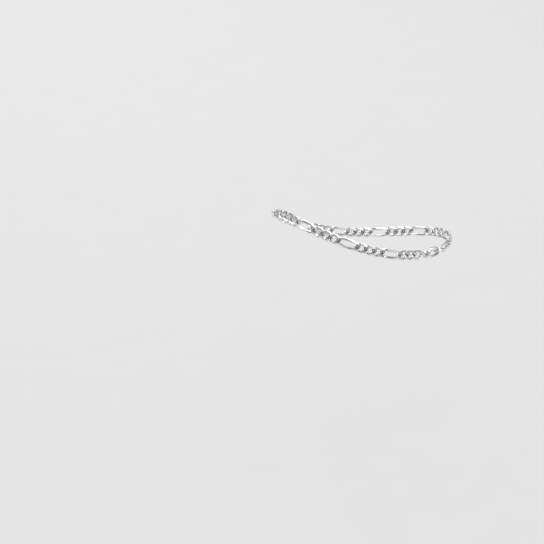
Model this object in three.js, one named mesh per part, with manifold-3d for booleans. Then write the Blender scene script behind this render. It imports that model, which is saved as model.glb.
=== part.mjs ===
// Figaro chain anklet in polished silver, closed round an ankle.
// Millimetres, +Z up the leg, -X to the toes, +X to the heel, -Y to the outer side of the foot.
// The origin is the middle of the worn loop, where the ankle goes through it.
import * as THREE from 'three';
import Module from 'manifold-3d';
import { mergeVertices } from 'three/addons/utils/BufferGeometryUtils.js';

const wasm = await Module();
wasm.setup();

// Chain links: flat figaro links, three short ones to each long one
const LINK_WIDTH = 5.0; // outer width of a link before its edges are cut
const CHAIN_WIDTH = 4.7; // over the two cut edges
const CHAIN_THICKNESS = 2.0; // over the two ground faces
const WIRE_WIDTH = 1.48; // wire seen from the face of the chain
const WIRE_THICKNESS = 1.0; // wire seen from the edge of the chain
const SHORT_INNER = 4.2; // inner length of a short link
const LONG_INNER = 9.4; // inner length of a long link
const LINK_TWIST = 54; // degrees that each end of a link is turned out of its plane
const TWIST_RISE = 1.8; // how late the twist comes in towards the ends; 1 would be even
const SHORTS_PER_LONG = 3;
const PATTERN_REPEATS = 11;
const LINK_PLAY = 0.25; // gap left between linked wires

// Clasp and the two rings that tie it to the chain
const RING_WIRE = 0.8;
const EYE_RING_INNER = 3.4; // ring between the chain's end and the clasp's eye
const HOOK_RING_INNER = 4.6; // ring that the clasp hooks into
const RING_TILT = 20; // degrees that a ring leans with the end of its link
const CLASP_LENGTH = 11.6;
const CLASP_WIDTH = 5.2;
const CLASP_THICKNESS = 2.0;
const CLASP_WALL = 1.15;
const CLASP_EDGE = 0.4; // width of the chamfer round the clasp
const EYE_DIAMETER = 3.9;
const EYE_HOLE = 2.3;
const EYE_THICKNESS = 1.3;
const EYE_EDGE = 0.3;
const LEVER_DIAMETER = 1.5;
const LEVER_REACH = 0.7; // how far the lever's thumb knob stands out of the clasp's side
const CLASP_PLAY = 0.9; // room along the chain at each end of the clasp

// Loop as worn: an egg-shaped oval that leans with the ankle and hangs lower at its sides
const LOOP_ASPECT = 0.75; // width of the loop over its length
const LOOP_EGG = 0.05; // how much broader the heel half is than the front half
const LOOP_SAG = 9.0; // drop of the sides below the front and the back
const LOOP_PITCH = 15; // degrees, front up
const LOOP_ROLL = -12; // degrees, outer side up
const FRONT_LEAN = 30; // degrees more that the links lean back at the front, where the instep slopes
const CHAIN_START = 313; // degrees round the loop from the heel to the chain's first link

// Facets
const SHORT_SEGMENTS = 14;
const LONG_SEGMENTS = 16;
const RING_SEGMENTS = 14;
const WIRE_SIDES = 6;
const CLASP_SEGMENTS = 28;
const EYE_SEGMENTS = 18;
const LEVER_SEGMENTS = 12;

const SILVER = 0xd6d7d8;
const POLISH = 0.18; // roughness of the polished metal
const degrees = THREE.MathUtils.degToRad;

function silver(roughness) {
  return new THREE.MeshStandardMaterial({ color: SILVER, metalness: 1, roughness });
}

// A link is a ring of wire stretched to a long oval, twisted about its length towards both ends,
// with its faces ground and its edges cut.
function linkGeometry(innerLength, segments) {
  const bend = (LINK_WIDTH - WIRE_WIDTH) / 2;
  const halfLength = (innerLength + WIRE_WIDTH) / 2;
  const stretch = halfLength - bend;
  const cut = (value, size) => THREE.MathUtils.clamp(value, -size / 2, size / 2);
  const geometry = new THREE.TorusGeometry(bend, WIRE_WIDTH / 2, WIRE_SIDES, segments);
  const position = geometry.attributes.position;
  const uv = geometry.attributes.uv;
  for (let i = 0; i < position.count; i += 1) {
    const around = uv.getX(i) * 2 * Math.PI;
    const section = uv.getY(i) * 2 * Math.PI;
    const c = Math.cos(around);
    const s = Math.sin(around);
    const ease = Math.sign(c) * (1 - (1 - Math.abs(c)) ** 3);
    const easeSlope = 3 * (1 - Math.abs(c)) ** 2;
    const outward = new THREE.Vector2(bend * c, (bend + stretch * easeSlope) * s).normalize();
    const across = (WIRE_WIDTH / 2) * Math.cos(section);
    const x = bend * c + stretch * ease + outward.x * across;
    const flatY = bend * s + outward.y * across;
    const flatZ = (WIRE_THICKNESS / 2) * Math.sin(section);
    const share = Math.min(Math.abs(x) / halfLength, 1);
    const turn = degrees(LINK_TWIST) * Math.sign(x) * share ** TWIST_RISE;
    const y = flatY * Math.cos(turn) - flatZ * Math.sin(turn);
    const z = flatY * Math.sin(turn) + flatZ * Math.cos(turn);
    position.setXYZ(i, x, cut(y, CHAIN_WIDTH), cut(z, CHAIN_THICKNESS));
  }
  return geometry;
}

function ringGeometry(innerDiameter) {
  const radius = (innerDiameter + RING_WIRE) / 2;
  return new THREE.TorusGeometry(radius, RING_WIRE / 2, WIRE_SIDES, RING_SEGMENTS);
}

// A flat plate with a chamfer round every edge, centred on its own thickness
function plate(shape, thickness, edge, segments) {
  const geometry = new THREE.ExtrudeGeometry(shape, {
    depth: thickness - 2 * edge,
    bevelThickness: edge,
    bevelSize: edge,
    bevelOffset: -edge,
    bevelSegments: 1,
    curveSegments: segments,
  });
  return geometry.translate(0, 0, edge - thickness / 2);
}

function toSolid(geometry) {
  const bare = geometry.clone();
  bare.deleteAttribute('normal');
  bare.deleteAttribute('uv');
  const merged = mergeVertices(bare, 1e-4);
  return new wasm.Manifold(new wasm.Mesh({
    numProp: 3,
    vertProperties: Float32Array.from(merged.attributes.position.array),
    triVerts: Uint32Array.from(merged.index.array),
  }));
}

function toGeometry(solid) {
  const mesh = solid.getMesh();
  const geometry = new THREE.BufferGeometry();
  geometry.setAttribute('position', new THREE.BufferAttribute(mesh.vertProperties, 3));
  geometry.setIndex(new THREE.BufferAttribute(mesh.triVerts, 1));
  return geometry;
}

// The clasp is one closed piece: an eye at its -X end, an oval claw and the knob of its lever.
function claspGeometry() {
  const eyeX = (EYE_DIAMETER - CLASP_LENGTH) / 2;
  const clawStart = eyeX + EYE_HOLE / 2;
  const clawX = (clawStart + CLASP_LENGTH / 2) / 2;
  const clawHalf = CLASP_LENGTH / 2 - clawX;

  const claw = new THREE.Shape();
  claw.absellipse(clawX, 0, clawHalf, CLASP_WIDTH / 2, 0, 2 * Math.PI);
  const hollow = new THREE.Path();
  hollow.absellipse(clawX, 0, clawHalf - CLASP_WALL, CLASP_WIDTH / 2 - CLASP_WALL, 0, 2 * Math.PI);
  claw.holes.push(hollow);

  const eye = new THREE.Shape();
  eye.absarc(eyeX, 0, EYE_DIAMETER / 2, 0, 2 * Math.PI);
  const hole = new THREE.Path();
  hole.absarc(eyeX, 0, EYE_HOLE / 2, 0, 2 * Math.PI);
  eye.holes.push(hole);

  const lever = new THREE.CylinderGeometry(
    LEVER_DIAMETER / 2, LEVER_DIAMETER / 2, CLASP_THICKNESS - 2 * EYE_EDGE, LEVER_SEGMENTS);
  lever.rotateX(Math.PI / 2);
  lever.translate(clawX, CLASP_WIDTH / 2 + LEVER_REACH - LEVER_DIAMETER / 2, 0);

  const solid = toSolid(plate(claw, CLASP_THICKNESS, CLASP_EDGE, CLASP_SEGMENTS))
    .add(toSolid(plate(eye, EYE_THICKNESS, EYE_EDGE, EYE_SEGMENTS)))
    .add(toSolid(lever));
  return toGeometry(solid);
}

// The pieces in order round the loop, each with the length of the route that it takes up
function chainPieces() {
  const shortLink = linkGeometry(SHORT_INNER, SHORT_SEGMENTS);
  const longLink = linkGeometry(LONG_INNER, LONG_SEGMENTS);
  const pieces = [];
  for (let repeat = 1; repeat <= PATTERN_REPEATS; repeat += 1) {
    pieces.push({ name: `long_link_${repeat}`, geometry: longLink, reach: LONG_INNER - LINK_PLAY });
    for (let k = 1; k <= SHORTS_PER_LONG; k += 1) {
      const name = `short_link_${(repeat - 1) * SHORTS_PER_LONG + k}`;
      pieces.push({ name, geometry: shortLink, reach: SHORT_INNER - LINK_PLAY });
    }
  }
  const eyeRim = (EYE_DIAMETER - EYE_HOLE) / 2;
  pieces.push({
    name: 'eye_ring',
    geometry: ringGeometry(EYE_RING_INNER),
    reach: EYE_RING_INNER - LINK_PLAY,
    turn: RING_TILT - 90,
  });
  pieces.push({
    name: 'clasp',
    geometry: claspGeometry(),
    reach: CLASP_LENGTH - eyeRim - CLASP_WALL - CLASP_PLAY,
    shift: (CLASP_WALL - eyeRim) / 2,
  });
  pieces.push({
    name: 'hook_ring',
    geometry: ringGeometry(HOOK_RING_INNER),
    reach: HOOK_RING_INNER - LINK_PLAY,
    turn: 90 - RING_TILT,
  });
  return pieces;
}

// A point of the worn loop at an angle, for a loop of the given half length
function loopPoint(angle, halfLength) {
  const x = halfLength * Math.cos(angle);
  const y = halfLength * LOOP_ASPECT * Math.sin(angle) * (1 + LOOP_EGG * Math.cos(angle));
  const z = -LOOP_SAG * Math.sin(angle) ** 2;
  return new THREE.Vector3(x, y, z)
    .applyAxisAngle(new THREE.Vector3(0, 1, 0), degrees(LOOP_PITCH))
    .applyAxisAngle(new THREE.Vector3(1, 0, 0), degrees(LOOP_ROLL));
}

// The direction up the leg at an angle round the loop: square to the loop's mean plane at the
// heel, and leaning back more and more towards the front
function legDirection(angle) {
  const lean = FRONT_LEAN * ((1 - Math.cos(angle)) / 2) ** 2;
  return new THREE.Vector3(0, 0, 1)
    .applyAxisAngle(new THREE.Vector3(0, 1, 0), degrees(LOOP_PITCH + lean))
    .applyAxisAngle(new THREE.Vector3(1, 0, 0), degrees(LOOP_ROLL));
}

// The angle at which the loop is one chord further on
function stepAlong(angle, chord, halfLength) {
  const from = loopPoint(angle, halfLength);
  let low = angle;
  let high = angle + Math.PI / 2;
  for (let i = 0; i < 40; i += 1) {
    const middle = (low + high) / 2;
    if (loopPoint(middle, halfLength).distanceTo(from) < chord) low = middle;
    else high = middle;
  }
  return (low + high) / 2;
}

// The angles of all joints between pieces, from the chain's first link once round the loop
function jointAngles(pieces, halfLength) {
  const angles = [degrees(CHAIN_START)];
  for (const piece of pieces) {
    angles.push(stepAlong(angles[angles.length - 1], piece.reach, halfLength));
  }
  return angles;
}

// The half length at which the row of pieces just closes
function closedHalfLength(pieces) {
  const total = pieces.reduce((sum, piece) => sum + piece.reach, 0);
  let low = total / 8;
  let high = total / 4;
  for (let i = 0; i < 40; i += 1) {
    const middle = (low + high) / 2;
    const angles = jointAngles(pieces, middle);
    if (angles[angles.length - 1] - angles[0] > 2 * Math.PI) low = middle;
    else high = middle;
  }
  return (low + high) / 2;
}

// Each piece lies with its length on the chord between its joints and its face outwards.
function placePiece(piece, start, end, upwards) {
  const along = end.clone().sub(start).normalize();
  const outward = along.clone().cross(upwards).normalize();
  const across = outward.clone().cross(along);
  const mesh = new THREE.Mesh(piece.geometry, silver(POLISH));
  mesh.name = piece.name;
  mesh.position.copy(start).add(end).multiplyScalar(0.5).addScaledVector(along, piece.shift ?? 0);
  mesh.quaternion.setFromRotationMatrix(new THREE.Matrix4().makeBasis(along, across, outward));
  mesh.rotateX(degrees(piece.turn ?? 0));
  return mesh;
}

const anklet = new THREE.Group();
const pieces = chainPieces();
const halfLength = closedHalfLength(pieces);
const angles = jointAngles(pieces, halfLength);
pieces.forEach((piece, i) => {
  const start = loopPoint(angles[i], halfLength);
  const end = loopPoint(angles[i + 1], halfLength);
  anklet.add(placePiece(piece, start, end, legDirection((angles[i] + angles[i + 1]) / 2)));
});

export default anklet;
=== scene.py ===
"""A figaro chain anklet in polished silver, in its worn form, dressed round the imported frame."""

import math

import bmesh
import bpy
import numpy as np
from bpy.props import FloatProperty, FloatVectorProperty, IntProperty, PointerProperty
from mathutils import Matrix, Vector


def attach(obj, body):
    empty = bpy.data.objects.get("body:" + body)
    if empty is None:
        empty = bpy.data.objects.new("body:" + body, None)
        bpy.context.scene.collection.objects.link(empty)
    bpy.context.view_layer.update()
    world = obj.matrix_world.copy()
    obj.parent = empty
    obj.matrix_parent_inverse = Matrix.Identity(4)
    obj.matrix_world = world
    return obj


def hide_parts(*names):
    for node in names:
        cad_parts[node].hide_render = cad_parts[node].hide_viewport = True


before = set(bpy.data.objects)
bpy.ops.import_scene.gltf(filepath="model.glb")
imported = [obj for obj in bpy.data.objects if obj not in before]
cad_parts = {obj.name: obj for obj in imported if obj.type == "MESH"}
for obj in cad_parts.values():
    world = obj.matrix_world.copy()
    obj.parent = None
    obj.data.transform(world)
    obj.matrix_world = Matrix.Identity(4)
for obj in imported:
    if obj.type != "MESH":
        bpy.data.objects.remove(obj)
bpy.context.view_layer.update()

bl_info = {
    "name": "Figaro chain anklet",
    "version": (1, 0, 0),
    "blender": (4, 5, 0),
    "location": "View3D > Sidebar > Anklet",
    "description": "Makes the links, rings and clasp of a figaro chain anklet",
    "category": "Add Mesh",
}

# Names in the frame
BODY = "root"
SHORT_LINKS = sorted(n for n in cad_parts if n.startswith("short_link_"))
LONG_LINKS = sorted(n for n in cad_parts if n.startswith("long_link_"))
RINGS = ("eye_ring", "hook_ring")
CLASP = "clasp"

# Names of the values that a mesh carries for its finish
HOLLOW = "hollow"  # how hollow a point lies, from 0 in the open to 1 deep inside; it darkens the silver there with tarnish and painted shade
CUT = "cut"  # the number of the flat cut that a face belongs to, or 0

# Meshes
CREASE = math.radians(18)  # faces that meet at more than this keep a crisp line between them
CUT_SNAPS = (1e-7, 5e-7, 2e-6)  # metres; a point this near a cut is taken to lie on it
LONG_EXTRA = 40  # steps round a long link beyond those round a short one
RING_GRID = (160, 28)  # steps round a jump ring, and round its wire
CLAW_GRID = (220, 36)  # steps round the claw, and round its section
EYE_GRID = (96, 28)  # steps round the eye, and round its section
TURN_STEPS = 32  # steps round a turned solid
DOME_STEPS = 9  # points of a dome's profile from its rim to its top
POLE = 1e-7  # metres; radius of the ring that closes a turned solid on its axis

# The clasp, in shares of its sizes
CLAW_SQUARE = 0.72  # power of the claw's section, where 1 is an ellipse and less is squarer
EYE_SQUARE = 0.75  # power of the eye's section
NOSE_WALL = 0.88  # wall at the claw's nose, as a share of the wall at its back
NOSE_DEPTH = 0.84  # thickness at the claw's nose, as a share of that at its back
GATE_ENDS = (0.12, 2.35)  # radians round the claw from its nose to each end of the gate
GROOVE_ANGLE = 0.035  # radians; width of the bell curve that a groove follows
RIVET_PLACE = 0.75  # from the claw's back to the rivet's axis, as a share of the wall
RIVET_RADIUS = 0.3  # as a share of the wall
RIVET_BASE = 0.98  # height at which the dome starts, as a share of half the thickness
RIVET_RISE = 0.4  # height of the dome, as a share of the rivet's radius
KNOB_RISE = 0.3  # height of the knob's dome, as a share of the knob's size

# How hollow the places of the pieces are; the value darkens the silver with tarnish and painted shade,
# and roughens it
LINK_FALL = 1.5  # power by which the value falls off round a link's wire
LINK_SIDE = 0.3  # inside a link's long sides; inside its ends it is 1
JOINT_START = 0.35  # cosine of the angle round a link where the value starts to rise to its end
JOINT_RISE = 0.5  # how much more cosine it takes to reach 1
RING_INSIDE = 0.5
RING_SEAM = 0.8
CLAW_INSIDE = 0.55
CLAW_GROOVE = 0.9
EYE_INSIDE = 0.6
SEAM_PLACE = math.pi / 2  # radians round a jump ring from the clasp to its closed cut

# The silver's textures, with scales in waves to a metre
SWELL_SCALE = 520
GRAIN_SCALE = 2600
HAIRLINE_TURN = (0.4, 0.9, 0.3)  # radians; the way that the hairlines run
HAIRLINE_SCALE = (600, 9000, 9000)  # long in one direction and fine in the other two
TARNISH_AND_SHADE_LEAST = 0.55  # tarnish and painted shade in a hollow where the grain is least
TARNISH_AND_SHADE_GRAIN = 0.8  # tarnish and painted shade that the grain adds
ROUGH_GRAIN = 0.10  # roughness between the least and the most grain
HAIRLINE_RELIEF = 0.5  # heights in the relief, as shares of the scratch depth
GRAIN_RELIEF = 0.5
WIRE_SWELL = 4  # how much more the uncut wire swells than the flat cuts do

# The stage
PHOTO_WIDTH = 544  # pixels
SENSOR = 36.0  # millimetres
CLIP = (0.01, 50)  # metres; nearest and furthest that the camera sees
FLOOR_REACH = 8.0  # metres from the middle to each side
FLOOR_COLOURS = ((0.735, 0.735, 0.74, 1), (0.755, 0.755, 0.755, 1))
FLOOR_MOTTLE = 40  # waves to a metre
FLOOR_ROUGHNESS = 0.8
ROOM_LEVELS = (  # place between straight down at 0 and straight up at 1, and its grey
    (0.0, 0.45), (0.50, 0.34), (0.64, 0.26), (0.76, 0.22), (0.86, 0.42), (0.95, 1.0))
ROOM_SEEN = (0.95, 0.95, 0.95, 1)  # what the camera itself sees of the room
LIGHTS = (  # name, place, the point that it faces, and size, in metres
    ("back_light", (0.0, 1.35, 1.53), (0.0, 1.35, 0.0), 2.34),
    ("front_light", (-0.27, -0.54, 1.17), (0.0, 0.0, 0.0), 0.54),
    ("side_light", (1.44, -0.36, 0.63), (0.0, 0.0, 0.0), 0.54),
)


class LinkSizes(bpy.types.PropertyGroup):
    """Sizes of the chain's links"""

    width: FloatProperty(
        name="Link width", description="Width of a link before its edges are cut",
        default=0.0058, unit="LENGTH")
    wire_width: FloatProperty(
        name="Wire width", description="Wire at a link's ends, seen from the face of the chain",
        default=0.00147, unit="LENGTH")
    side_width: FloatProperty(
        name="Side width", description="Wire at a link's sides before its edges are cut",
        default=0.0019, unit="LENGTH")
    wire_thickness: FloatProperty(
        name="Wire thickness", description="Wire seen from the edge of the chain",
        default=0.00098, unit="LENGTH")
    twist: FloatProperty(
        name="Twist", description="Turn of each end out of the link's plane",
        default=math.radians(54), subtype="ANGLE")
    twist_rise: FloatProperty(
        name="Twist rise", description="How late the twist comes in towards the ends", default=2.0)
    ground: FloatProperty(
        name="Ground thickness", description="Thickness of the chain over its two ground faces",
        default=0.00198, unit="LENGTH")
    cut_width: FloatProperty(
        name="Cut width", description="Width of the chain over its two cut edges",
        default=0.00470, unit="LENGTH")
    bevel: FloatProperty(
        name="Bevel", description="Half width plus half thickness that the slanting cuts leave",
        default=0.00242, unit="LENGTH")
    hand: FloatProperty(
        name="Hand", description="How far the cuts of one link stray from those of the next",
        default=math.radians(2.2), subtype="ANGLE")
    segments: IntProperty(
        name="Segments", description="Steps round a short link; a long one has more", default=128)
    sides: IntProperty(name="Sides", description="Steps round the wire", default=44)


class RingSizes(bpy.types.PropertyGroup):
    """Sizes of the jump rings"""

    wire: FloatProperty(
        name="Wire", description="Wire of a jump ring", default=0.00078, unit="LENGTH")
    seam_depth: FloatProperty(
        name="Seam depth", description="Depth of the closed cut in a ring, as a share of its wire",
        default=0.16, subtype="FACTOR")
    seam_angle: FloatProperty(
        name="Seam width", description="Angle that the closed cut takes up",
        default=math.radians(4), subtype="ANGLE")


class ClaspSizes(bpy.types.PropertyGroup):
    """Sizes of the lobster clasp"""

    length: FloatProperty(
        name="Length", description="Over the eye and the claw", default=0.0116, unit="LENGTH")
    width: FloatProperty(name="Width", description="Over the claw", default=0.0052, unit="LENGTH")
    thickness: FloatProperty(
        name="Thickness", description="Of the claw's body", default=0.0020, unit="LENGTH")
    wall: FloatProperty(
        name="Wall", description="Of the claw round its hollow", default=0.00115, unit="LENGTH")
    eye: FloatProperty(name="Eye", description="Outer size of the eye", default=0.0039, unit="LENGTH")
    eye_hole: FloatProperty(
        name="Eye hole", description="Inner size of the eye", default=0.0023, unit="LENGTH")
    eye_thickness: FloatProperty(
        name="Eye thickness", description="Thickness of the eye", default=0.0013, unit="LENGTH")
    knob: FloatProperty(
        name="Knob", description="Size of the lever's thumb knob", default=0.0015, unit="LENGTH")
    knob_reach: FloatProperty(
        name="Knob reach", description="How far the knob stands out of the claw's side",
        default=0.0007, unit="LENGTH")
    groove: FloatProperty(
        name="Groove", description="Depth of the lines at the gate's ends, as a share of the section",
        default=0.14, subtype="FACTOR")


class SilverFinish(bpy.types.PropertyGroup):
    """Colours and polish of the silver"""

    bright: FloatVectorProperty(
        name="Bright silver", description="Colour of the polished faces",
        default=(0.87, 0.87, 0.865), subtype="COLOR", size=3)
    # This dark colour fills the hollows between the links: tarnish together with painted shade where
    # shade falls.
    tarnish_and_shade_colour: FloatVectorProperty(
        name="Tarnished silver", description="Colour deep between the links",
        default=(0.16, 0.155, 0.15), subtype="COLOR", size=3)
    polish: FloatProperty(
        name="Polish", description="Roughness of the cut faces", default=0.09, subtype="FACTOR")
    satin: FloatProperty(
        name="Satin", description="Roughness added on the uncut wire", default=0.07, subtype="FACTOR")
    rubbed: FloatProperty(
        name="Rubbed", description="Roughness added where links rub", default=0.22, subtype="FACTOR")
    scratch_depth: FloatProperty(
        name="Scratch depth", description="Depth of the hairline scratches",
        default=0.000003, unit="LENGTH")


class StageSettings(bpy.types.PropertyGroup):
    """Camera, floor and lights"""

    azimuth: FloatProperty(
        name="Azimuth", description="Turn of the camera round the anklet",
        default=math.radians(-22.6), subtype="ANGLE")
    elevation: FloatProperty(
        name="Elevation", description="Height of the camera above the horizon",
        default=math.radians(24.85), subtype="ANGLE")
    distance: FloatProperty(
        name="Distance", description="From the camera to the anklet's middle",
        default=0.650, unit="LENGTH")
    scale: FloatProperty(
        name="Scale", description="Length at the anklet's middle that one pixel shows",
        default=0.000479, unit="LENGTH")
    middle_x: FloatProperty(
        name="Middle across", description="Where the anklet's middle lies in the picture, across",
        default=363.3, subtype="PIXEL")
    middle_y: FloatProperty(
        name="Middle down", description="Where the anklet's middle lies in the picture, down",
        default=223.8, subtype="PIXEL")
    floor_drop: FloatProperty(
        name="Floor drop", description="From the anklet's middle down to the floor",
        default=0.115, unit="LENGTH")
    back_power: FloatProperty(
        name="Back power", description="Power of the wide light above and behind",
        default=18.0, subtype="POWER")
    front_power: FloatProperty(
        name="Front power", description="Power of the small light above and in front",
        default=2.75, subtype="POWER")
    side_power: FloatProperty(
        name="Side power", description="Power of the light at the side", default=1.95, subtype="POWER")
    sky: FloatProperty(name="Sky", description="Strength of the room's light", default=1.2)


class AnkletSettings(bpy.types.PropertyGroup):
    """Everything that can be changed on the anklet"""

    links: PointerProperty(type=LinkSizes)
    rings: PointerProperty(type=RingSizes)
    clasp: PointerProperty(type=ClaspSizes)
    silver: PointerProperty(type=SilverFinish)
    stage: PointerProperty(type=StageSettings)


class Value:
    """A node's output that takes part in sums: each operator adds a Math node."""

    def __init__(self, finish, socket):
        self.finish = finish
        self.socket = socket

    def _math(self, operation, first, second):
        return self.finish.add("ShaderNodeMath", {"operation": operation}, {0: first, 1: second})

    def __add__(self, other):
        return self._math("ADD", self, other)

    __radd__ = __add__

    def __sub__(self, other):
        return self._math("SUBTRACT", self, other)

    def __rsub__(self, other):
        return self._math("SUBTRACT", other, self)

    def __mul__(self, other):
        return self._math("MULTIPLY", self, other)

    __rmul__ = __mul__


class Finish:
    """A node tree that is filled by one method."""

    def __init__(self, owner):
        owner.use_nodes = True
        self.tree = owner.node_tree
        self.tree.nodes.clear()

    def add(self, kind, settings=None, inputs=None, out=0):
        """Adds a node, sets its settings first, then the values or links of its sockets.

        The setting "stops" is a colour ramp's places and grey levels. Sockets and the output that
        is handed back go by their name, or by their number where names repeat.
        """
        node = self.tree.nodes.new(kind)
        for key, value in (settings or {}).items():
            if key == "stops":
                set_stops(node.color_ramp.elements, value)
            else:
                setattr(node, key, value)
        for key, value in (inputs or {}).items():
            if isinstance(value, Value):
                self.tree.links.new(value.socket, node.inputs[key])
            else:
                node.inputs[key].default_value = value
        return Value(self, node.outputs[out]) if node.outputs else node

    def mix(self, factor, first, second):
        """A colour between two colours: sockets 6 and 7 and output 2 are a Mix node's colours."""
        settings = {"data_type": "RGBA"}
        return self.add("ShaderNodeMix", settings, {0: factor, 6: first, 7: second}, out=2)


def set_stops(elements, stops):
    """Gives a colour ramp, which starts with two stops, all of its places and grey levels."""
    for element, (place, level) in zip(elements, (stops[0], stops[-1])):
        element.position = place
        element.color = (level, level, level, 1)
    for place, level in stops[1:-1]:
        element = elements.new(place)
        element.color = (level, level, level, 1)


def silver_material(name, shift):
    """Polished silver: mirror-bright cuts, softer wire, hairlines, and tarnish with painted shade in
    the hollows.

    The soft swell bends the reflections as hand polishing does, and the hairlines run one way.
    The shift moves the textures along x, in metres, so that each material has its own.
    """
    look = bpy.context.scene.anklet.silver
    material = bpy.data.materials.new(name)
    finish = Finish(material)
    place = finish.add("ShaderNodeTexCoord", out="Object")
    moved = finish.add("ShaderNodeMapping", None, {"Vector": place, "Location": (shift, 0, 0)})
    streaked = finish.add(
        "ShaderNodeMapping", None,
        {"Vector": moved, "Rotation": HAIRLINE_TURN, "Scale": HAIRLINE_SCALE})
    hollow = finish.add("ShaderNodeAttribute", {"attribute_name": HOLLOW}, out="Fac")
    number = finish.add("ShaderNodeAttribute", {"attribute_name": CUT}, out="Fac")
    cut = finish.add("ShaderNodeClamp", None, {"Value": number})
    wire = 1 - cut
    swell = finish.add("ShaderNodeTexNoise", None, {"Vector": moved, "Scale": SWELL_SCALE, "Detail": 1})
    grain = finish.add("ShaderNodeTexNoise", None, {"Vector": moved, "Scale": GRAIN_SCALE, "Detail": 3})
    hairline = finish.add("ShaderNodeTexNoise", None, {"Vector": streaked, "Scale": 1, "Detail": 1})
    # Painted shade with tarnish: the colour darkens towards the dark colour where a point lies hollow.
    tarnish_and_shade = finish.add(
        "ShaderNodeMath", {"operation": "MULTIPLY", "use_clamp": True},
        {0: hollow, 1: grain * TARNISH_AND_SHADE_GRAIN + TARNISH_AND_SHADE_LEAST})
    colour = finish.mix(tarnish_and_shade, (*look.bright, 1), (*look.tarnish_and_shade_colour, 1))
    least = look.polish - ROUGH_GRAIN / 2
    roughness = grain * ROUGH_GRAIN + hollow * look.rubbed + wire * look.satin + least
    scratches = hairline * HAIRLINE_RELIEF + grain * GRAIN_RELIEF
    relief = finish.add(
        "ShaderNodeBump", None,
        {"Strength": 1.0, "Distance": look.scratch_depth,
         "Height": scratches + swell * WIRE_SWELL * wire + swell})
    shader = finish.add(
        "ShaderNodeBsdfPrincipled", None,
        {"Base Color": colour, "Metallic": 1.0, "Roughness": roughness, "Normal": relief})
    finish.add("ShaderNodeOutputMaterial", None, {"Surface": shader})
    return material


def node_points(name):
    """The vertices of a frame node as rows of x, y and z."""
    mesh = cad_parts[name].data
    points = np.empty(len(mesh.vertices) * 3)
    mesh.vertices.foreach_get("co", points)
    return points.reshape(-1, 3)


def node_axes(name):
    """Middle and three axes of a node: onwards round the loop, across its width, and outwards.

    The axes are the principal directions of its surface, longest spread first, so they do not
    depend on how it is divided into triangles. A triangle of area A with corners a, b, c and
    their sum s adds A s / 3 to the first moment and A (s s' + a a' + b b' + c c') / 12 to the
    second. Outwards points away from the middle of the loop, across is at right angles to both.
    """
    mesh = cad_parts[name].data
    mesh.calc_loop_triangles()
    order = np.empty(len(mesh.loop_triangles) * 3, dtype=np.int32)
    mesh.loop_triangles.foreach_get("vertices", order)
    corners = node_points(name)[order].reshape(-1, 3, 3)
    start = corners.mean((0, 1))
    corners = corners - start
    a, b, c = corners[:, 0], corners[:, 1], corners[:, 2]
    area = np.linalg.norm(np.cross(b - a, c - a), axis=1) / 2
    total = corners.sum(1)
    shift = area @ total / 3 / area.sum()
    second = np.einsum("i,ij,ik->jk", area, total, total)
    second += np.einsum("i,inj,ink->jk", area, corners, corners)
    directions = np.linalg.eigh(second / 12 / area.sum() - np.outer(shift, shift))[1]
    middle = start + shift
    along, outward = directions[:, 2], directions[:, 0]
    if outward @ middle < 0:
        outward = -outward
    if np.cross(middle, along)[2] < 0:
        along = -along
    return middle, along, np.cross(outward, along), outward


def ring_axes(name):
    """Middle and axes of a ring: along points to the clasp, so the seam is clear of its neighbours."""
    middle, _, _, normal = node_axes(name)
    along = node_axes(CLASP)[0] - middle
    along -= (along @ normal) * normal
    along /= np.linalg.norm(along)
    return middle, along, np.cross(normal, along), normal


def clasp_axes():
    """Middle and axes of the clasp: along runs from its eye to its nose.

    The line between the two points that lie furthest apart, seen square to its plane, gives both.
    """
    middle, _, _, outward = node_axes(CLASP)
    points = node_points(CLASP)
    flat = points - np.outer((points - middle) @ outward, outward)
    spans = np.linalg.norm(flat[:, None] - flat[None], axis=-1)
    one, two = np.unravel_index(spans.argmax(), spans.shape)
    along = flat[two] - flat[one]
    along /= np.linalg.norm(along)
    if (node_points("eye_ring").mean(0) - middle) @ along > 0:
        along = -along
    centre = (flat[one] + flat[two]) / 2
    return centre, along, np.cross(outward, along), outward


def measured(name, axis):
    """Length of a node over its vertices in a direction."""
    reach = node_points(name) @ axis
    return reach.max() - reach.min()


def grid(around, sides):
    """Two arrays of angles: one runs round the ring, the other round the wire."""
    u = np.linspace(0, 2 * np.pi, around, endpoint=False)
    v = np.linspace(0, 2 * np.pi, sides, endpoint=False)
    return np.meshgrid(u, v, indexing="ij")


def closed_quads(rows, columns):
    """Quads of a grid whose rows and columns both close on themselves."""
    i, j = np.meshgrid(np.arange(rows), np.arange(columns), indexing="ij")
    after_i = (i + 1) % rows
    after_j = (j + 1) % columns
    corners = (
        i * columns + j, after_i * columns + j,
        after_i * columns + after_j, i * columns + after_j)
    return np.stack([c.ravel() for c in corners], axis=1)


def volume(points, quads):
    """Signed volume inside the quads: a sum of tetrahedra to the origin."""
    a, b, c, d = (points[quads[:, k]] for k in range(4))
    halves = np.einsum("ij,ij->i", a, np.cross(b, c)) + np.einsum("ij,ij->i", a, np.cross(c, d))
    return halves.sum() / 6


def joined(shells, turn, middle):
    """Points, quads and hollow values of a piece's shells, in their place and facing outwards."""
    points, quads, hollows = [], [], []
    first = 0
    for shell, hollow in shells:
        rows, columns = shell.shape[:2]
        placed = shell.reshape(-1, 3) @ turn + middle
        faces = closed_quads(rows, columns)
        if volume(placed - placed.mean(0), faces) < 0:
            faces = faces[:, ::-1]
        points.append(placed)
        quads.append(faces + first)
        hollows.append(np.broadcast_to(hollow, (rows, columns)).ravel())
        first += len(placed)
    return np.concatenate(points), np.concatenate(quads), np.concatenate(hollows)


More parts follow.
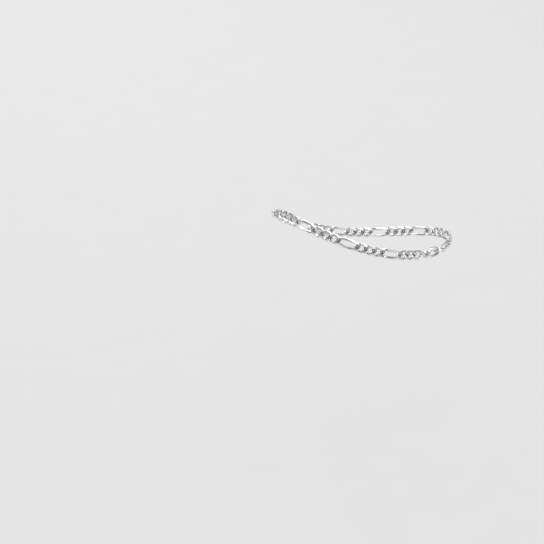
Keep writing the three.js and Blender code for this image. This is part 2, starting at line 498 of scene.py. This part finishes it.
def smooth_mesh(name, points, quads, hollow):
    """A smooth mesh of quads that carries its hollow values, and cut numbers that are still 0."""
    mesh = bpy.data.meshes.new(name)
    mesh.vertices.add(len(points))
    mesh.vertices.foreach_set("co", points.astype(np.float32).ravel())
    mesh.loops.add(quads.size)
    mesh.loops.foreach_set("vertex_index", quads.astype(np.int32).ravel())
    mesh.polygons.add(len(quads))
    mesh.polygons.foreach_set("loop_start", np.arange(0, quads.size, 4, dtype=np.int32))
    mesh.polygons.foreach_set("use_smooth", np.ones(len(quads), dtype=bool))
    layer = mesh.attributes.new(HOLLOW, "FLOAT", "POINT")
    layer.data.foreach_set("value", hollow.astype(np.float32))
    mesh.attributes.new(CUT, "FLOAT", "FACE")
    mesh.update(calc_edges=True)
    mesh.validate()
    return mesh


def make_piece(name, shells, axes, material, nodes, cuts=()):
    """One object from closed shells of rows x columns points, with its place in its mesh.

    A shell is its points in the piece's own axes and how hollow each point lies, from 0 to 1.
    A cut is the normal of a plane and its distance from the middle, in the same axes.
    """
    middle, *directions = axes
    turn = np.stack(directions)
    mesh = smooth_mesh(name, *joined(shells, turn, middle))
    cut_flat(mesh, [(middle + distance * normal @ turn, normal @ turn) for normal, distance in cuts])
    sharpen(mesh)
    mesh.materials.append(material)
    piece = bpy.data.objects.new(name, mesh)
    bpy.context.scene.collection.objects.link(piece)
    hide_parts(*nodes)
    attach(piece, BODY)


def cut_flat(mesh, planes):
    """Cuts a closed mesh flat by planes, and tries another snap where it would not close."""
    for snap in CUT_SNAPS:
        shape = flat_shape(mesh, planes, snap)
        closed = all(edge.is_manifold for edge in shape.edges)
        if closed:
            shape.to_mesh(mesh)
        shape.free()
        if closed:
            return
    raise RuntimeError(f"{mesh.name} does not close after its cuts")


def flat_shape(mesh, planes, snap):
    """Takes away what lies beyond each plane and closes the cut with a flat face.

    A plane is a point on it and its outward normal. Each flat face keeps the number of its plane,
    counted from 1, in the mesh's cut numbers, and the uncut wire keeps 0.
    """
    shape = bmesh.new()
    shape.from_mesh(mesh)
    mark = shape.faces.layers.float[CUT]
    for number, (point, normal) in enumerate(planes, 1):
        found = bmesh.ops.bisect_plane(
            shape, geom=shape.verts[:] + shape.edges[:] + shape.faces[:], dist=snap,
            plane_co=point, plane_no=normal, clear_outer=True)
        rim = [item for item in found["geom_cut"] if isinstance(item, bmesh.types.BMEdge)]
        for face in bmesh.ops.edgeloop_fill(shape, edges=rim)["faces"]:
            face[mark] = number
    bmesh.ops.recalc_face_normals(shape, faces=shape.faces[:])
    return shape


def sharpen(mesh):
    """Keeps a crisp line where faces meet at an angle, and all round each flat cut.

    Each edge of a closed mesh has two faces, so the loops sorted by edge stand in pairs.
    """
    mesh.set_sharp_from_angle(angle=CREASE)
    edges = np.empty(len(mesh.loops), dtype=np.int32)
    mesh.loops.foreach_get("edge_index", edges)
    corners = np.empty(len(mesh.polygons), dtype=np.int32)
    mesh.polygons.foreach_get("loop_total", corners)
    cuts = np.empty(len(mesh.polygons), dtype=np.float32)
    mesh.attributes[CUT].data.foreach_get("value", cuts)
    pairs = np.repeat(cuts, corners)[np.argsort(edges, kind="stable")].reshape(-1, 2)
    sharp = np.empty(len(mesh.edges), dtype=bool)
    mesh.edges.foreach_get("use_edge_sharp", sharp)
    mesh.edges.foreach_set("use_edge_sharp", sharp | (pairs[:, 0] != pairs[:, 1]))


def inside(v):
    """How far a point of a section faces the hole: minus the cosine of its angle, not below 0."""
    return np.clip(-np.cos(v), 0, 1)


def bell(angle, place, width):
    """A bell curve round a circle: exp(-(angle from the place / width)^2)."""
    off = np.angle(np.exp(1j * (angle - place)))
    return np.exp(-(off / width) ** 2)


def squircle(angle, power):
    """Cosine and sine to a power with their signs kept: a square with round corners below 1."""
    c, s = np.cos(angle), np.sin(angle)
    return np.sign(c) * np.abs(c) ** power, np.sign(s) * np.abs(s) ** power


def link_shell(length, sizes, around):
    """A figaro link in its own axes, twisted but not yet ground or cut, from two angles.

    The wire's centre runs round an oval, x = bend cos u + stretch ease(cos u) and y = bend sin u,
    where ease(c) = sign(c) (1 - (1 - |c|)^3) makes the sides long and nearly straight. The wire
    is an ellipse square to it, fuller at the sides by sin(u)^4. It lies hollow on the wire's
    inner side, and more so towards the link's two ends.
    """
    u, v = grid(around, sizes.sides)
    bend = (sizes.width - sizes.side_width) / 2
    half_length = (length - sizes.wire_width) / 2
    stretch = half_length - bend
    c, s = np.cos(u), np.sin(u)
    ease = np.sign(c) * (1 - (1 - np.abs(c)) ** 3)
    slope = 3 * (1 - np.abs(c)) ** 2
    outward = np.stack([bend * c, (bend + stretch * slope) * s], axis=-1)
    outward /= np.linalg.norm(outward, axis=-1, keepdims=True)
    width = sizes.wire_width + (sizes.side_width - sizes.wire_width) * s ** 4
    across = width / 2 * np.cos(v)
    points = np.stack(
        [bend * c + stretch * ease + outward[..., 0] * across,
         bend * s + outward[..., 1] * across,
         sizes.wire_thickness / 2 * np.sin(v)], axis=-1)
    joint = np.clip((np.abs(c) - JOINT_START) / JOINT_RISE, 0, 1)
    hollow = inside(v) ** LINK_FALL * (LINK_SIDE + (1 - LINK_SIDE) * joint)
    return twisted(points, half_length, sizes), hollow


def twisted(points, half_length, sizes):
    """Turns each point about the link's length by twist times (|x| / half length) ^ rise.

    The middle stays flat and the ends stand across their neighbours.
    """
    share = np.clip(np.abs(points[..., 0]) / half_length, 0, 1)
    turn = sizes.twist * np.sign(points[..., 0]) * share ** sizes.twist_rise
    y = points[..., 1] * np.cos(turn) - points[..., 2] * np.sin(turn)
    z = points[..., 1] * np.sin(turn) + points[..., 2] * np.cos(turn)
    return np.stack([points[..., 0], y, z], axis=-1)


def link_cuts(sizes, draw):
    """The planes that grind a link's two faces, cut its two edges and slant off its four corners.

    Each plane leans a little by chance, as cuts made link by link do.
    """
    slant = math.sqrt(0.5)
    cuts = [((0, 0, side), sizes.ground / 2) for side in (-1, 1)]
    cuts += [((0, side, 0), sizes.cut_width / 2) for side in (-1, 1)]
    cuts += [((0, a * slant, b * slant), sizes.bevel * slant) for a in (-1, 1) for b in (-1, 1)]
    planes = []
    for normal, distance in cuts:
        normal = np.array(normal, dtype=float)
        lean = draw.uniform(-sizes.hand, sizes.hand, 3) * (1 - np.abs(normal))
        normal = normal + lean
        planes.append((normal / np.linalg.norm(normal), distance))
    return planes


def ring_shell(outer, sizes):
    """A round wire ring whose wire is a little pinched where its cut closes.

    The wire's half thickness is r (1 - depth bell), with a bell curve round the ring at the cut.
    """
    u, v = grid(*RING_GRID)
    radius = (outer - sizes.wire) / 2
    seam = bell(u, SEAM_PLACE, sizes.seam_angle)
    wire = sizes.wire / 2 * (1 - sizes.seam_depth * seam)
    reach = radius + wire * np.cos(v)
    points = np.stack([reach * np.cos(u), reach * np.sin(u), wire * np.sin(v)], axis=-1)
    hollow = RING_INSIDE * inside(v) + RING_SEAM * seam
    return points, np.clip(hollow, 0, 1)


def claw_shell(middle_x, half_length, sizes):
    """The claw: a rounded bar carried round an oval, fuller at the back and finer at the nose.

    Its centre is an ellipse, x = a cos u and y = b sin u, its section a rounded square that is
    square to it, and two narrow grooves, each a bell curve of the angle, mark the gate's ends.
    """
    u, v = grid(*CLAW_GRID)
    a = half_length - sizes.wall / 2
    b = sizes.width / 2 - sizes.wall / 2
    normal = np.stack([np.cos(u) / a, np.sin(u) / b], axis=-1)
    normal /= np.linalg.norm(normal, axis=-1, keepdims=True)
    back = (1 - np.cos(u)) / 2
    grooves = sum(bell(u, place, GROOVE_ANGLE) for place in GATE_ENDS)
    pinch = 1 - sizes.groove * grooves
    c, s = squircle(v, CLAW_SQUARE)
    wide = sizes.wall / 2 * (NOSE_WALL + (1 - NOSE_WALL) * back) * pinch * c
    deep = sizes.thickness / 2 * (NOSE_DEPTH + (1 - NOSE_DEPTH) * back) * pinch * s
    x = middle_x + a * np.cos(u) + normal[..., 0] * wide
    y = b * np.sin(u) + normal[..., 1] * wide
    hollow = CLAW_INSIDE * inside(v) + CLAW_GROOVE * grooves
    return np.stack([x, y, deep], axis=-1), np.clip(hollow, 0, 1)


def eye_shell(middle_x, sizes):
    """The eye: a rounded square bar carried round a circle.

    A point's reach from the eye's middle is the radius plus half the wall times the section.
    """
    u, v = grid(*EYE_GRID)
    radius = (sizes.eye + sizes.eye_hole) / 4
    wall = (sizes.eye - sizes.eye_hole) / 2
    c, s = squircle(v, EYE_SQUARE)
    reach = radius + wall / 2 * c
    points = np.stack(
        [middle_x + reach * np.cos(u), reach * np.sin(u), sizes.eye_thickness / 2 * s], axis=-1)
    return points, EYE_INSIDE * inside(v)


def turned_shell(middle, profile, axis):
    """A solid turned about the y or z axis through a point, closed by tiny rings at both ends.

    The profile is rows of distance from the axis and height along it. A point is the distance
    times the cosine and sine of its angle, at its height.
    """
    rows = np.array(profile)
    v = np.linspace(0, 2 * np.pi, TURN_STEPS, endpoint=False)
    radius = rows[:, 0][:, None]
    height = np.repeat(rows[:, 1][:, None], len(v), axis=1)
    one, two = radius * np.cos(v), radius * np.sin(v)
    order = (one, height, -two) if axis == "y" else (one, two, height)
    return np.stack(order, axis=-1) + np.array(middle), 0.0


def dome(radius, height, base):
    """A profile from deep inside, out to the rim and over a low dome: an ellipse's quarter."""
    angle = np.linspace(0, np.pi / 2, DOME_STEPS)
    over = [(radius * math.cos(t) + POLE, base + height * math.sin(t)) for t in angle]
    return [(POLE, base - height), (radius, base - height), *over]


def clasp_shells(sizes):
    """All the shells of the clasp: claw, eye, rivet heads and the knob on the gate."""
    eye_x = (sizes.eye - sizes.length) / 2
    start = eye_x + sizes.eye_hole / 2
    claw_x = (start + sizes.length / 2) / 2
    half_length = sizes.length / 2 - claw_x
    rivet_x = claw_x - half_length + sizes.wall * RIVET_PLACE
    rivet = sizes.wall * RIVET_RADIUS
    knob_y = sizes.width / 2 + sizes.knob_reach - sizes.knob / 2
    knob_rise = sizes.knob * KNOB_RISE
    shells = [claw_shell(claw_x, half_length, sizes), eye_shell(eye_x, sizes)]
    for side in (-1, 1):
        profile = dome(rivet, rivet * RIVET_RISE, sizes.thickness / 2 * RIVET_BASE)
        points, hollow = turned_shell((rivet_x, 0, 0), profile, "z")
        points[..., 2] *= side
        shells.append((points, hollow))
    profile = dome(sizes.knob / 2, knob_rise, sizes.knob / 2 - knob_rise)
    shells.append(turned_shell((claw_x, knob_y, 0), profile, "y"))
    return shells


class ANKLET_OT_links(bpy.types.Operator):
    """Makes every link of the chain in place of its plain solid"""

    bl_idname = "anklet.links"
    bl_label = "Make links"

    def execute(self, context):
        sizes = context.scene.anklet.links
        material = silver_material("polished_silver_links", shift=0.0)
        kinds = ((SHORT_LINKS, sizes.segments), (LONG_LINKS, sizes.segments + LONG_EXTRA))
        for names, around in kinds:
            length = max(measured(name, node_axes(name)[1]) for name in names)
            shell = link_shell(length, sizes, around)
            for name in names:
                seed = int(name.rsplit("_", 1)[1]) + around
                cuts = link_cuts(sizes, np.random.default_rng(seed))
                make_piece(f"polished_{name}", [shell], node_axes(name), material, [name], cuts)
        return {"FINISHED"}


class ANKLET_OT_rings(bpy.types.Operator):
    """Makes the two jump rings that tie the clasp to the chain"""

    bl_idname = "anklet.rings"
    bl_label = "Make jump rings"

    def execute(self, context):
        sizes = context.scene.anklet.rings
        material = silver_material("polished_silver_rings", shift=0.3)
        for name in RINGS:
            axes = ring_axes(name)
            outer = 2 * np.linalg.norm(node_points(name) - axes[0], axis=1).max()
            make_piece(f"polished_{name}", [ring_shell(outer, sizes)], axes, material, [name])
        return {"FINISHED"}


class ANKLET_OT_clasp(bpy.types.Operator):
    """Makes the lobster clasp as one closed piece"""

    bl_idname = "anklet.clasp"
    bl_label = "Make clasp"

    def execute(self, context):
        sizes = context.scene.anklet.clasp
        material = silver_material("polished_silver_clasp", shift=0.6)
        make_piece("polished_clasp", clasp_shells(sizes), clasp_axes(), material, [CLASP])
        return {"FINISHED"}


def camera_axes(stage):
    """The camera's back, right and up directions."""
    az, el = stage.azimuth, stage.elevation
    back = Vector((math.sin(az) * math.cos(el), -math.cos(az) * math.cos(el), math.sin(el)))
    right = Vector((math.cos(az), math.sin(az), 0))
    return back, right, back.cross(right)


def add_camera(stage):
    """A camera that shows the anklet's middle where it lies in the picture."""
    back, right, up = camera_axes(stage)
    centre = PHOTO_WIDTH / 2
    across = (stage.middle_x - centre) * stage.scale
    down = (stage.middle_y - centre) * stage.scale
    camera = bpy.data.objects.new("camera", bpy.data.cameras.new("camera"))
    turn = Matrix((right, up, back)).transposed().to_4x4()
    turn.translation = back * stage.distance - right * across + up * down
    camera.matrix_world = turn
    camera.data.sensor_width = SENSOR
    camera.data.lens = SENSOR * stage.distance / stage.scale / PHOTO_WIDTH
    camera.data.clip_start, camera.data.clip_end = CLIP
    bpy.context.scene.collection.objects.link(camera)
    bpy.context.scene.camera = camera


def floor_material():
    """Matt and pale, with a very faint mottle."""
    material = bpy.data.materials.new("pale_floor")
    finish = Finish(material)
    place = finish.add("ShaderNodeTexCoord", out="Object")
    mottle = finish.add(
        "ShaderNodeTexNoise", None, {"Vector": place, "Scale": FLOOR_MOTTLE, "Detail": 3})
    colour = finish.mix(mottle, *FLOOR_COLOURS)
    shader = finish.add(
        "ShaderNodeBsdfPrincipled", None, {"Base Color": colour, "Roughness": FLOOR_ROUGHNESS})
    finish.add("ShaderNodeOutputMaterial", None, {"Surface": shader})
    return material


def add_floor(stage):
    """A wide plain square floor below the anklet."""
    mesh = bpy.data.meshes.new("floor")
    signs = ((-1, -1), (1, -1), (1, 1), (-1, 1))
    corners = [(x * FLOOR_REACH, y * FLOOR_REACH, -stage.floor_drop) for x, y in signs]
    mesh.from_pydata(corners, [], [(0, 1, 2, 3)])
    mesh.materials.append(floor_material())
    floor = bpy.data.objects.new("floor", mesh)
    bpy.context.scene.collection.objects.link(floor)


def add_light(name, place, target, size, power):
    """A soft square light that faces a point."""
    light = bpy.data.lights.new(name, "AREA")
    light.shape = "SQUARE"
    light.size = size
    light.energy = power
    lamp = bpy.data.objects.new(name, light)
    lamp.location = place
    lamp.rotation_mode = "QUATERNION"
    lamp.rotation_quaternion = (Vector(place) - Vector(target)).to_track_quat("Z", "Y")
    bpy.context.scene.collection.objects.link(lamp)


def add_room(stage):
    """A pale room: bright overhead, greyer towards the horizon, and plain white to look at."""
    world = bpy.data.worlds.new("room")
    bpy.context.scene.world = world
    finish = Finish(world)
    direction = finish.add("ShaderNodeTexCoord", out="Generated")
    height = finish.add("ShaderNodeSeparateXYZ", None, {"Vector": direction}, out="Z")
    level = finish.add("ShaderNodeValToRGB", {"stops": ROOM_LEVELS}, {"Fac": height * 0.5 + 0.5})
    seen = finish.add("ShaderNodeLightPath", out="Is Camera Ray")
    colour = finish.mix(seen, level, ROOM_SEEN)
    sky = finish.add("ShaderNodeBackground", None, {"Color": colour, "Strength": stage.sky})
    finish.add("ShaderNodeOutputWorld", None, {"Surface": sky})


class ANKLET_OT_stage(bpy.types.Operator):
    """Makes the pale floor, the soft studio light and the camera"""

    bl_idname = "anklet.stage"
    bl_label = "Make stage"

    def execute(self, context):
        stage = context.scene.anklet.stage
        add_camera(stage)
        add_floor(stage)
        add_room(stage)
        powers = (stage.back_power, stage.front_power, stage.side_power)
        for light, power in zip(LIGHTS, powers):
            add_light(*light, power)
        context.scene.view_settings.view_transform = "Standard"
        return {"FINISHED"}


class ANKLET_PT_pieces(bpy.types.Panel):
    """Lists the anklet's pieces and their sizes"""

    bl_idname = "ANKLET_PT_pieces"
    bl_label = "Figaro chain anklet"
    bl_space_type = "VIEW_3D"
    bl_region_type = "UI"
    bl_category = "Anklet"

    def draw(self, context):
        anklet = context.scene.anklet
        parts = (
            ("anklet.links", anklet.links),
            ("anklet.rings", anklet.rings),
            ("anklet.clasp", anklet.clasp),
            ("anklet.stage", anklet.stage),
        )
        for operator, sizes in parts:
            box = self.layout.box()
            box.operator(operator)
            for name in sizes.__annotations__:
                box.prop(sizes, name)
        box = self.layout.box()
        for name in anklet.silver.__annotations__:
            box.prop(anklet.silver, name)


CLASSES = (
    LinkSizes, RingSizes, ClaspSizes, SilverFinish, StageSettings, AnkletSettings,
    ANKLET_OT_links, ANKLET_OT_rings, ANKLET_OT_clasp, ANKLET_OT_stage, ANKLET_PT_pieces,
)


def register():
    for item in CLASSES:
        bpy.utils.register_class(item)
    bpy.types.Scene.anklet = PointerProperty(type=AnkletSettings)


def unregister():
    del bpy.types.Scene.anklet
    for item in reversed(CLASSES):
        bpy.utils.unregister_class(item)


def main():
    register()
    bpy.ops.anklet.stage()
    bpy.ops.anklet.links()
    bpy.ops.anklet.rings()
    bpy.ops.anklet.clasp()


if __name__ == "__main__":
    main()
